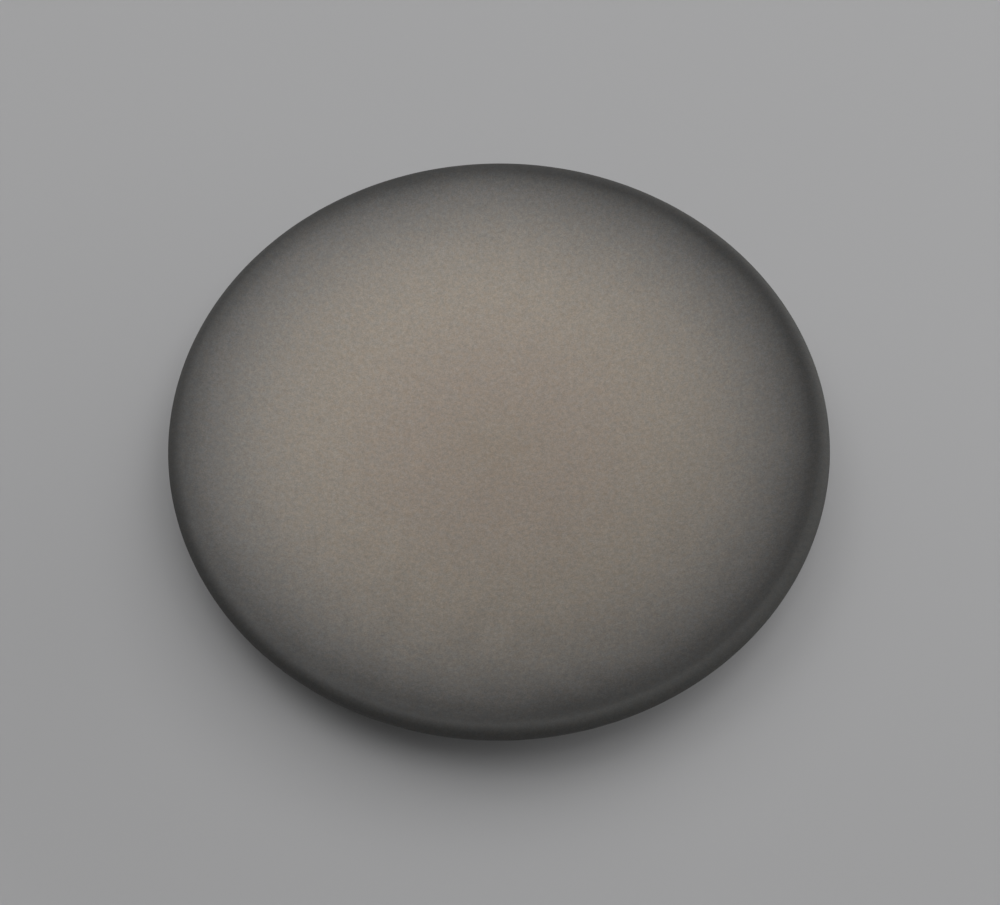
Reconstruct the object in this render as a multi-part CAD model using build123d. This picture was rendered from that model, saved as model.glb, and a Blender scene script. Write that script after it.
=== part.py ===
"""Watch glass with a satin film: a shallow round bowl of glass, lying hollow side up.

Frame: millimetres, +Z up. The origin is the centre of the small ground spot on which the
glass stands, so the table is the plane z = 0 and +Z is the axis of the whole part.
"""
from build123d import *

import os
from math import asin, cos, degrees, radians, sin, sqrt

# Driving dimensions
DIAMETER = 80.0             # across the widest circle of the coated rim
RISE = 8.1                  # from the middle of the wall at the bottom to its middle at the rim
WALL = 2.3                  # thickness of the glass, even all over
FILM = 0.1                  # thickness of the satin film on the hollow face
FILM_WRAP = 40.0            # degrees that the film goes on below the widest circle of the rim
FOOT_RADIUS = 7.0           # ground spot under the bowl

# The fire-polished rim is a full round, half as thick as the wall
edge_radius = WALL / 2
edge_r = DIAMETER / 2 - FILM - edge_radius      # centre of the round, out from the axis

# Both faces are spheres about one point on the axis. The sphere half way through the wall
# runs through the centre of the rim's round and drops by the rise on its way to the axis.
middle_radius = (edge_r**2 + RISE**2) / (2 * RISE)
bowl_radius = middle_radius - WALL / 2
outer_radius = middle_radius + WALL / 2
film_radius = bowl_radius - FILM

# The ground spot cuts the outer sphere at z = 0, which sets the height of everything
centre_z = sqrt(outer_radius**2 - FOOT_RADIUS**2)
rim_slope = degrees(asin(edge_r / middle_radius))
edge_z = centre_z - middle_radius * cos(radians(rim_slope))


def on_sphere(radius, slope):
    """The point (r, z) of a face where the face has this slope, 0 at the axis."""
    return (radius * sin(radians(slope)), centre_z - radius * cos(radians(slope)))


def on_edge(radius, angle):
    """The point (r, z) of the rim's round at an angle above the widest circle."""
    return (edge_r + radius * cos(radians(angle)), edge_z + radius * sin(radians(angle)))


def place(point):
    """A point (r, z) of an outline, as a place in the XZ plane."""
    return (point[0], 0, point[1])


def sphere_arc(radius, first_slope, last_slope):
    """The stretch of a face between two slopes."""
    middle = (first_slope + last_slope) / 2
    points = [on_sphere(radius, slope) for slope in (first_slope, middle, last_slope)]
    return ThreePointArc(*[place(point) for point in points])


def edge_arc(radius, first_angle, last_angle):
    """The stretch of the rim's round between two angles."""
    middle = (first_angle + last_angle) / 2
    points = [on_edge(radius, angle) for angle in (first_angle, middle, last_angle)]
    return ThreePointArc(*[place(point) for point in points])


def straight(first, last):
    """A straight stretch between two points (r, z)."""
    return Line(place(first), place(last))


def revolve_outline(outline):
    """Turn a closed outline in the XZ plane about the axis of the part."""
    return revolve(make_face(outline), axis=Axis.Z)


def glass_shell():
    """The glass: an even spherical wall with a full round rim and a ground spot below."""
    foot_slope = degrees(asin(FOOT_RADIUS / outer_radius))
    bowl_bottom = on_sphere(bowl_radius, 0)
    foot_edge = (FOOT_RADIUS, 0)
    foot_middle = (0, 0)
    outline = [
        sphere_arc(bowl_radius, 0, rim_slope),
        edge_arc(edge_radius, 90 + rim_slope, rim_slope - 90),
        sphere_arc(outer_radius, rim_slope, foot_slope),
        straight(foot_edge, foot_middle),
        straight(foot_middle, bowl_bottom),
    ]
    return revolve_outline(outline)


def satin_film():
    """The film: an even skin over the hollow face that wraps the rim and stops under it."""
    film_edge = edge_radius + FILM
    outline = [
        sphere_arc(film_radius, 0, rim_slope),
        edge_arc(film_edge, 90 + rim_slope, -FILM_WRAP),
        straight(on_edge(film_edge, -FILM_WRAP), on_edge(edge_radius, -FILM_WRAP)),
        edge_arc(edge_radius, -FILM_WRAP, 90 + rim_slope),
        sphere_arc(bowl_radius, rim_slope, 0),
        straight(on_sphere(bowl_radius, 0), on_sphere(film_radius, 0)),
    ]
    return revolve_outline(outline)


nodes = {
    "glass_shell": glass_shell(),
    "satin_film": satin_film(),
}

os.makedirs("parts", exist_ok=True)
for name, solid in nodes.items():
    export_step(solid, f"parts/{name}.step")
    print(name, "volume", round(solid.volume, 1), "mm3")

print("face radii, film to outside:", [round(r, 2) for r in (film_radius, bowl_radius, outer_radius)])
print("height", round(edge_z + edge_radius + FILM, 2), "slope at the rim", round(rim_slope, 1))
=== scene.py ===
# Looks for the watch glass: a satin film in the hollow of a clear glass bowl, on a pale floor
# under soft light. Metres, in the frame of the CAD part: +Z up, the bowl stands on z = 0.

from math import asin, cos, pi, radians, sin, tan

import bpy
from mathutils import Matrix, Vector, noise


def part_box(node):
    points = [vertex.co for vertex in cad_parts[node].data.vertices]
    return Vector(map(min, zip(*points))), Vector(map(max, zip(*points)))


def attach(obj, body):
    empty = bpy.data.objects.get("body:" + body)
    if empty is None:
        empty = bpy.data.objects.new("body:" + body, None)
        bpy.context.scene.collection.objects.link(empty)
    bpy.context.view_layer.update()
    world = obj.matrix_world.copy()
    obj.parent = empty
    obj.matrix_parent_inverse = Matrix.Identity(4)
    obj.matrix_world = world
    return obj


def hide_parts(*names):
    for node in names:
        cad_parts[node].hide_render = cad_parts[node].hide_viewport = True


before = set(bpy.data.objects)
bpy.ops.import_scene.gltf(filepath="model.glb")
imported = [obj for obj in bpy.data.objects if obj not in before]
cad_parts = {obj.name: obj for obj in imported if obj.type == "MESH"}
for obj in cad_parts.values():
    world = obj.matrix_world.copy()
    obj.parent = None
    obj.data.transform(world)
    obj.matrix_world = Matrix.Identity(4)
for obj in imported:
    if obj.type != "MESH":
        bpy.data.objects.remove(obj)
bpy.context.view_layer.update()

MM = 0.001
WALL = 2.3 * MM                             # thickness of the glass, as the CAD part has it
FILM_WRAP = radians(40)                     # how far the film goes on below the widest circle

film_low, film_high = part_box("satin_film")
glass_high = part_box("glass_shell")[1]
rim_radius = film_high.x
film = film_high.x - glass_high.x

# The rim is a full round about edge_r, edge_z. The faces of the bowl are spheres about one
# point on the axis, above the bowl, and meet the round where their slope is rim_slope.
edge_radius = WALL / 2
edge_r = glass_high.x - edge_radius
edge_z = glass_high.z - edge_radius
bowl_rise = glass_high.z - film_low.z
middle_radius = (edge_r**2 + bowl_rise**2) / (2 * bowl_rise)
film_radius = middle_radius - WALL / 2 - film
centre_z = film_low.z + film + film_radius
rim_slope = asin(edge_r / middle_radius)


# ---------------------------------------------------------------- view

CAMERA_LENS = 50                            # mm
CAMERA_SENSOR = 36                          # mm wide
CAMERA_ELEVATION = radians(60.96)
CAMERA_REACH = 4.428                        # rim radii from the camera to the point it aims at
CAMERA_AIM = Vector((0.0029, 0.0116, 0))    # that point, in rim radii from the origin
CAMERA_ROLL = radians(-0.39)


def make_camera():
    """The photograph's viewing angle."""
    data = bpy.data.cameras.new("camera")
    data.lens = CAMERA_LENS
    data.sensor_width = CAMERA_SENSOR
    camera = bpy.data.objects.new("camera", data)
    bpy.context.scene.collection.objects.link(camera)
    back = Vector((0, -cos(CAMERA_ELEVATION), sin(CAMERA_ELEVATION)))
    place = (CAMERA_AIM + back * CAMERA_REACH) * rim_radius
    tilt = Matrix.Rotation(pi / 2 - CAMERA_ELEVATION, 4, "X")
    roll = Matrix.Rotation(CAMERA_ROLL, 4, "Z")
    camera.matrix_world = Matrix.Translation(place) @ tilt @ roll
    bpy.context.scene.camera = camera


def softbox(name, azimuth, low, high, half_width, distance, power):
    """A flat light that faces the origin. Azimuth 0 is the far side, +X is 90; angles in degrees."""
    data = bpy.data.lights.new(name, "AREA")
    data.shape = "RECTANGLE"
    data.size = 2 * distance * tan(radians(half_width))
    data.size_y = 2 * distance * tan(radians(high - low) / 2)
    data.energy = power
    lamp = bpy.data.objects.new(name, data)
    bpy.context.scene.collection.objects.link(lamp)
    az, el = radians(azimuth), radians((low + high) / 2)
    away = Vector((sin(az) * cos(el), cos(az) * cos(el), sin(el)))
    lamp.location = away * distance
    lamp.rotation_mode = "QUATERNION"
    lamp.rotation_quaternion = (-away).to_track_quat("-Z", "Y")
    lamp.visible_camera = False
    return lamp


LIGHT_DISTANCE = 1.2
# Rings of softboxes: the lowest and highest elevation and half the width of a box, in degrees,
# then each box's azimuth and its power in watts. The powers aren't chosen by hand: a separate
# program fitted them to the photograph's light and shade, and they were rounded to 0.05 W.
LIGHT_RINGS = {
    "overhead": (78, 102, 12, ((0, 1.8),)),
    "high": (54, 74, 14, ((-60, 1.25), (0, 0.45), (60, 0.9), (120, 1.25))),
    "middle": (36, 54, 16, ((-45, 0.5), (0, 0.45), (45, 1.1), (90, 0.2))),
    "low": (4, 18, 22, ((-45, 1.9), (45, 3.2), (90, 1.9))),
}


def make_lights():
    """Soft light from overhead, the far side and the right."""
    for ring, (low, high, half_width, boxes) in LIGHT_RINGS.items():
        for azimuth, power in boxes:
            softbox(f"{ring}_{azimuth}", azimuth, low, high, half_width, LIGHT_DISTANCE, power)
    bpy.context.scene.world = make_surroundings()
    bpy.context.scene.view_settings.view_transform = "Standard"


ROOM_STRENGTH = 0.05                        # of the dim room
HORIZON_STRENGTH = 0.3                      # of the paler band round the horizon
HORIZON_TOP = radians(3)                    # the band is full up to here,
ROOM_START = radians(12)                    # and has faded into the room here


def make_surroundings():
    """A dim grey room, paler along the horizon, where low views look past the end of the floor."""
    world = bpy.data.worlds.new("studio")
    world.use_nodes = True
    nodes, links = world.node_tree.nodes, world.node_tree.links
    direction = nodes.new("ShaderNodeTexCoord")
    height = nodes.new("ShaderNodeSeparateXYZ")
    links.new(direction.outputs["Generated"], height.inputs["Vector"])
    room = nodes.new("ShaderNodeMapRange")
    room.interpolation_type = "SMOOTHSTEP"
    room.inputs["From Min"].default_value = sin(HORIZON_TOP)
    room.inputs["From Max"].default_value = sin(ROOM_START)
    room.inputs["To Min"].default_value = HORIZON_STRENGTH
    room.inputs["To Max"].default_value = ROOM_STRENGTH
    links.new(height.outputs["Z"], room.inputs["Value"])
    links.new(room.outputs["Result"], nodes["Background"].inputs["Strength"])
    nodes["Background"].inputs["Color"].default_value = (1, 1, 1, 1)
    return world


# ---------------------------------------------------------------- material tools

FINISH_CHANGE = (0.915, 0.985)              # the film's, in rim radii from the axis


class Nodes:
    """A new material's node tree, with short calls for adding and joining nodes."""

    def __init__(self, name):
        self.material = bpy.data.materials.new(name)
        self.material.use_nodes = True
        self.tree = self.material.node_tree
        self.shader = self.tree.nodes["Principled BSDF"]

    def add(self, kind, **settings):
        node = self.tree.nodes.new(kind)
        for key, value in settings.items():
            setattr(node, key, value)
        return node

    def join(self, source, target):
        self.tree.links.new(source, target)

    def feed(self, node, key, value):
        """Set an input to a number or colour, or join it to another node's output."""
        if isinstance(value, bpy.types.NodeSocket):
            self.join(value, node.inputs[key])
        else:
            node.inputs[key].default_value = value

    def math(self, operation, first, second):
        node = self.add("ShaderNodeMath", operation=operation)
        self.feed(node, 0, first)
        self.feed(node, 1, second)
        return node.outputs[0]

    def noise(self, place, scale, detail=2.0, roughness=0.5):
        """Soft noise from 0 to 1, with about scale bumps in a metre."""
        node = self.add("ShaderNodeTexNoise")
        self.feed(node, "Vector", place)
        self.feed(node, "Scale", scale)
        self.feed(node, "Detail", detail)
        self.feed(node, "Roughness", roughness)
        return node.outputs["Fac"]

    def ramp(self, value, stops, blend="B_SPLINE"):
        """Colours along a value from 0 to 1. Each stop is (place, colour)."""
        node = self.add("ShaderNodeValToRGB")
        node.color_ramp.interpolation = blend
        elements = node.color_ramp.elements
        while len(elements) < len(stops):
            elements.new(1.0)
        for element, (place, colour) in zip(elements, stops):
            element.position = place
            element.color = (*colour, 1)
        self.feed(node, "Fac", value)
        return node.outputs["Color"]

    def scale_colour(self, colour, factor):
        """A colour times a number that varies over the surface."""
        node = self.add("ShaderNodeVectorMath", operation="SCALE")
        self.feed(node, 0, colour)
        self.feed(node, "Scale", factor)
        return node.outputs[0]

    def tint(self, colour, other):
        """One colour times another."""
        node = self.add("ShaderNodeVectorMath", operation="MULTIPLY")
        self.feed(node, 0, colour)
        self.feed(node, 1, other)
        return node.outputs[0]

    def spread(self, value, middle, half_range):
        """Turn noise from 0 to 1 into values about a middle, up to half_range either side."""
        swing = self.math("MULTIPLY", self.math("SUBTRACT", value, 0.5), 2 * half_range)
        return self.math("ADD", swing, middle)

    def toward_rim(self, reach, in_bowl, at_rim):
        """One value over the bowl that turns into another over the stretch FINISH_CHANGE."""
        node = self.add("ShaderNodeMapRange", interpolation_type="SMOOTHSTEP")
        self.feed(node, "Value", reach)
        self.feed(node, "From Min", FINISH_CHANGE[0])
        self.feed(node, "From Max", FINISH_CHANGE[1])
        self.feed(node, "To Min", in_bowl)
        self.feed(node, "To Max", at_rim)
        return node.outputs["Result"]

    def mix(self, factor, first, second):
        """first where factor is 0, second where it is 1."""
        node = self.add("ShaderNodeMix", data_type="FLOAT")
        self.feed(node, "Factor", factor)
        self.feed(node, "A", first)
        self.feed(node, "B", second)
        return node.outputs["Result"]

    def mix_colour(self, factor, first, second):
        """The colour first where factor is 0, and second where it is 1."""
        return self.ramp(factor, ((0.0, first), (1.0, second)), blend="LINEAR")

    def reach(self, place, centre=(0, 0)):
        """Distance in plan from a centre near the axis of the bowl, all in rim radii."""
        flat = self.tint(place, (1 / rim_radius, 1 / rim_radius, 0))
        node = self.add("ShaderNodeVectorMath", operation="DISTANCE")
        self.feed(node, 0, flat)
        self.feed(node, 1, (*centre, 0))
        return node.outputs["Value"]

    def bump(self, height, distance):
        """A normal that tilts as if height, from 0 to 1, were this many metres."""
        node = self.add("ShaderNodeBump")
        self.feed(node, "Height", height)
        self.feed(node, "Distance", distance)
        return node.outputs["Normal"]


# ---------------------------------------------------------------- floor

FLOOR_RADIUS = 26 * rim_radius              # it ends inside the ring of lights
FLOOR_CORNERS = 96
FLOOR_GAP = 0.02 * MM                       # below the ground spot, so that no plane is shared
FLOOR_COLOUR = (0.58, 0.58, 0.587)
FLOOR_ROUGHNESS = 0.7
FLOOR_SPECULAR = 0.2


def make_floor():
    """A plain pale surface, far wider than the bowl."""
    mesh = bpy.data.meshes.new("floor")
    turns = [2 * pi * k / FLOOR_CORNERS for k in range(FLOOR_CORNERS)]
    corners = [(FLOOR_RADIUS * cos(t), FLOOR_RADIUS * sin(t), -FLOOR_GAP) for t in turns]
    mesh.from_pydata(corners, [], [range(FLOOR_CORNERS)])
    floor = bpy.data.objects.new("floor", mesh)
    bpy.context.scene.collection.objects.link(floor)
    paint = Nodes("pale_floor")
    paint.feed(paint.shader, "Base Color", (*FLOOR_COLOUR, 1))
    paint.feed(paint.shader, "Roughness", FLOOR_ROUGHNESS)
    paint.feed(paint.shader, "Specular IOR Level", FLOOR_SPECULAR)
    mesh.materials.append(paint.material)


# ---------------------------------------------------------------- film

RINGS = 130                                 # rings of the film's outer face, out to the hem
SEGMENTS = 540                              # round the axis
INNER_RINGS = 16
EDGE_SHARE = 0.3                            # of the rings, those on the round of the rim
FILM_DEPTH = 0.015 * MM                     # mean depth of its surface under the even face
SWELL_SIZE, SWELL = 14 * MM, 0.010 * MM     # width of a slow wave, and its depth
PEEL_SIZE, PEEL = 2.2 * MM, 0.003 * MM      # the same for the orange peel
SUNK = 0.05 * MM                            # how far its inner face is set into the glass

bowl_arc = film_radius * rim_slope          # length of the film's face from the axis to the rim
edge_turn = pi / 2 + rim_slope + FILM_WRAP  # how far the film turns about the rim's round
edge_arc = edge_radius * edge_turn
bowl_share = bowl_arc / (bowl_arc + edge_arc)


def face_point(depth, along):
    """A point (r, z) at this depth under the film's even face.

    along runs from 0 in the middle of the bowl, up to the rim and over it, to 1 at the hem.
    """
    if along <= bowl_share:
        slope = rim_slope * along / bowl_share
        reach = film_radius + depth
        return reach * sin(slope), centre_z - reach * cos(slope)
    angle = pi / 2 + rim_slope - edge_turn * (along - bowl_share) / (1 - bowl_share)
    reach = edge_radius + film - depth
    return edge_r + reach * cos(angle), edge_z + reach * sin(angle)


def ring_places(count):
    """Places along the face, closer together over the round of the rim."""
    edge_rings = round(count * EDGE_SHARE)
    bowl_rings = count - edge_rings
    on_bowl = [bowl_share * (i + 1) / bowl_rings for i in range(bowl_rings)]
    on_edge = [bowl_share + (1 - bowl_share) * (i + 1) / edge_rings for i in range(edge_rings)]
    return on_bowl + on_edge


def film_depth(along, angle):
    """How far the film's surface lies under its even face: a slow swell and fine orange peel."""
    r, z = face_point(0, along)
    place = Vector((r * cos(angle), r * sin(angle), z))
    swell = noise.noise(place / SWELL_SIZE) * SWELL
    peel = noise.noise(place / PEEL_SIZE) * PEEL
    return FILM_DEPTH + swell + peel


def make_film():
    """The film as a closed skin: fine outer face, hem, and a plain inner face set in the glass."""
    verts, faces = [], []
    outer = ring_places(RINGS)
    inner = ring_places(INNER_RINGS)[::-1]
    sunk = film + SUNK                      # so that no gap shows between film and glass

    def add_ring(along, fixed_depth=None):
        first = len(verts)
        for k in range(SEGMENTS):
            angle = 2 * pi * k / SEGMENTS
            depth = film_depth(along, angle) if fixed_depth is None else fixed_depth
            r, z = face_point(depth, along)
            verts.append((r * cos(angle), r * sin(angle), z))
        return first

    def bridge(first, second):
        for k in range(SEGMENTS):
            after = (k + 1) % SEGMENTS
            faces.append((first + k, second + k, second + after, first + after))

    def cap(middle, ring, upward):
        for k in range(SEGMENTS):
            after = (k + 1) % SEGMENTS
            edge = (ring + k, ring + after) if upward else (ring + after, ring + k)
            faces.append((middle, *edge))

    verts.append((0, 0, face_point(film_depth(0, 0), 0)[1]))
    rings = [add_ring(along) for along in outer]
    rings += [add_ring(along, sunk) for along in inner]
    verts.append((0, 0, face_point(sunk, 0)[1]))
    cap(0, rings[0], True)
    for first, second in zip(rings, rings[1:]):
        bridge(first, second)
    cap(len(verts) - 1, rings[-1], False)

    mesh = bpy.data.meshes.new("satin_film_skin")
    mesh.from_pydata(verts, [], faces)
    mesh.polygons.foreach_set("use_smooth", [True] * len(faces))
    mesh.update()
    piece = bpy.data.objects.new("satin_film_skin", mesh)
    bpy.context.scene.collection.objects.link(piece)
    mesh.materials.append(film_material())
    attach(piece, "root")
    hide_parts("satin_film")


# The film's colour at places out from its centre, which is a little off the axis, in rim radii; on
# the rim the tones also hold painted shade and painted light.
# Out to 0.88 the tones are within 0.003 of what a separate program fitted to the photograph.
# Those further out were set by comparing renders with the photograph.
FILM_CENTRE = (-0.015, 0.005)
FILM_TONES_AND_PAINTED_RIM_SHADING = (
    (0.00, (0.328, 0.282, 0.232)),
    (0.20, (0.338, 0.288, 0.244)),
    (0.40, (0.342, 0.297, 0.251)),
    (0.55, (0.338, 0.299, 0.253)),
    (0.70, (0.296, 0.268, 0.235)),
    (0.80, (0.235, 0.221, 0.202)),
    (0.88, (0.172, 0.165, 0.157)),
    (0.94, (0.100, 0.098, 0.095)),
    # A darker stop on the crest of the rim: painted shade that damps the highlight there
    (0.965, (0.066, 0.065, 0.063)),
    # A lighter stop on the outer side of the rim: painted light on its shaded side that faces down
    (1.00, (0.076, 0.075, 0.071)),
)


# Noise on the film: the width of a bump in metres, and how far it swings either way
DRIFT_SIZE, DRIFT = 13 * MM, 0.02           # of the places of the tones, in rim radii
FINE_SIZE, FINE = 0.17 * MM, 0.28           # of the brightness, as a share of it
COARSE_SIZE, COARSE = 0.5 * MM, 0.19
MOTTLE_SIZE, MOTTLE = 4 * MM, 0.07
WARMTH_SIZE = 0.6 * MM
COOL_GRAIN, WARM_GRAIN = (0.97, 1.0, 1.03), (1.03, 1.0, 0.97)
FILM_ROUGHNESS = (0.5, 0.68)                # in the bowl, and on the rim
ROUGHNESS_SWING = 0.05
FILM_METALLIC = (0.8, 0.25)                 # in the bowl, and on the rim
FILM_SPECULAR = 0.5
GRAIN_HEIGHT = 0.004 * MM
COARSE_HEIGHT = 1.5                         # of the coarse grain, as a share of the fine


def film_material():
    """Satin film: warm tan in the bowl, dark grey at the rim, with a fine sandy grain."""
    coat = Nodes("satin_film")
    place = coat.add("ShaderNodeTexCoord").outputs["Object"]
    reach = coat.reach(place)

    # The tone rings wander a little, as a film does that was not laid down quite evenly
    drift = coat.spread(coat.noise(place, 1 / DRIFT_SIZE), 0.0, DRIFT)
    tone_reach = coat.reach(place, FILM_CENTRE)
    # The ramp gives the film's tones, with painted shade on the crest of the rim and painted light
    # on its outer side
    colour = coat.ramp(coat.math("ADD", tone_reach, drift), FILM_TONES_AND_PAINTED_RIM_SHADING)

    # Fine grain, a slower mottle, and a faint difference of warmth from grain to grain
    fine = coat.noise(place, 1 / FINE_SIZE, detail=1)
    coarse = coat.noise(place, 1 / COARSE_SIZE, detail=2)
    mottle = coat.noise(place, 1 / MOTTLE_SIZE, detail=3)
    tone = coat.spread(fine, 1.0, FINE)
    tone = coat.math("MULTIPLY", tone, coat.spread(coarse, 1.0, COARSE))
    tone = coat.math("MULTIPLY", tone, coat.spread(mottle, 1.0, MOTTLE))
    colour = coat.scale_colour(colour, tone)
    warmth = coat.noise(place, 1 / WARMTH_SIZE, detail=1)
    warm_tint = coat.ramp(warmth, ((0.3, COOL_GRAIN), (0.7, WARM_GRAIN)), "LINEAR")
    colour = coat.tint(colour, warm_tint)

    # The film is satin in the bowl, and more matt and less like metal toward the rim
    roughness = coat.spread(mottle, coat.toward_rim(reach, *FILM_ROUGHNESS), ROUGHNESS_SWING)

    shader = coat.shader
    coat.feed(shader, "Base Color", colour)
    coat.feed(shader, "Metallic", coat.toward_rim(reach, *FILM_METALLIC))
    coat.feed(shader, "Roughness", roughness)
    coat.feed(shader, "Specular IOR Level", FILM_SPECULAR)
    height = coat.math("ADD", fine, coat.math("MULTIPLY", coarse, COARSE_HEIGHT))
    coat.feed(shader, "Normal", coat.bump(height, GRAIN_HEIGHT))
    return coat.material


# ---------------------------------------------------------------- glass

GROUND_TOP = 0.01 * MM                      # glass lower than this is the ground spot
POLISHED_COLOUR = (0.90, 0.95, 0.93)
GROUND_COLOUR = (0.80, 0.82, 0.81)
CLEAN, SMUDGED = (0.01,) * 3, (0.07,) * 3   # roughness of the polished glass
GROUND_ROUGHNESS, GROUND_SWING = 0.55, 0.2
SMUDGE_SIZE, GRIND_SIZE, WAVE_SIZE = 9 * MM, 0.12 * MM, 11 * MM
WAVE_HEIGHT = 0.03 * MM
PIT_SHARE = 0.1                             # height of the ground spot's pits, of that of the waves
GLASS_IOR = 1.5


def glass_material():
    """Clear glass with a faint green-grey tint, slightly wavy, and frosted on its ground spot."""
    glass = Nodes("clear_glass")
    place = glass.add("ShaderNodeTexCoord").outputs["Object"]
    height = glass.add("ShaderNodeSeparateXYZ")
    glass.feed(height, "Vector", place)

    # The ground spot is the only part of the glass that lies on the table
    ground = glass.math("LESS_THAN", height.outputs["Z"], GROUND_TOP)
    smudge = glass.noise(place, 1 / SMUDGE_SIZE, detail=4, roughness=0.6)
    polished = glass.ramp(smudge, ((0.45, CLEAN), (0.8, SMUDGED)), "LINEAR")
    grinding = glass.noise(place, 1 / GRIND_SIZE, detail=2)
    roughness = glass.mix(ground, polished, glass.spread(grinding, GROUND_ROUGHNESS, GROUND_SWING))
    colour = glass.mix_colour(ground, POLISHED_COLOUR, GROUND_COLOUR)

    shader = glass.shader
    glass.feed(shader, "Base Color", colour)
    glass.feed(shader, "Roughness", roughness)
    glass.feed(shader, "IOR", GLASS_IOR)
    glass.feed(shader, "Transmission Weight", 1.0)
    waves = glass.noise(place, 1 / WAVE_SIZE, detail=1)
    pits = glass.math("MULTIPLY", glass.math("MULTIPLY", grinding, ground), PIT_SHARE)
    glass.feed(shader, "Normal", glass.bump(glass.math("ADD", waves, pits), WAVE_HEIGHT))
    return glass.material


make_camera()
make_lights()
make_floor()
make_film()
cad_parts["glass_shell"].data.materials[0] = glass_material()
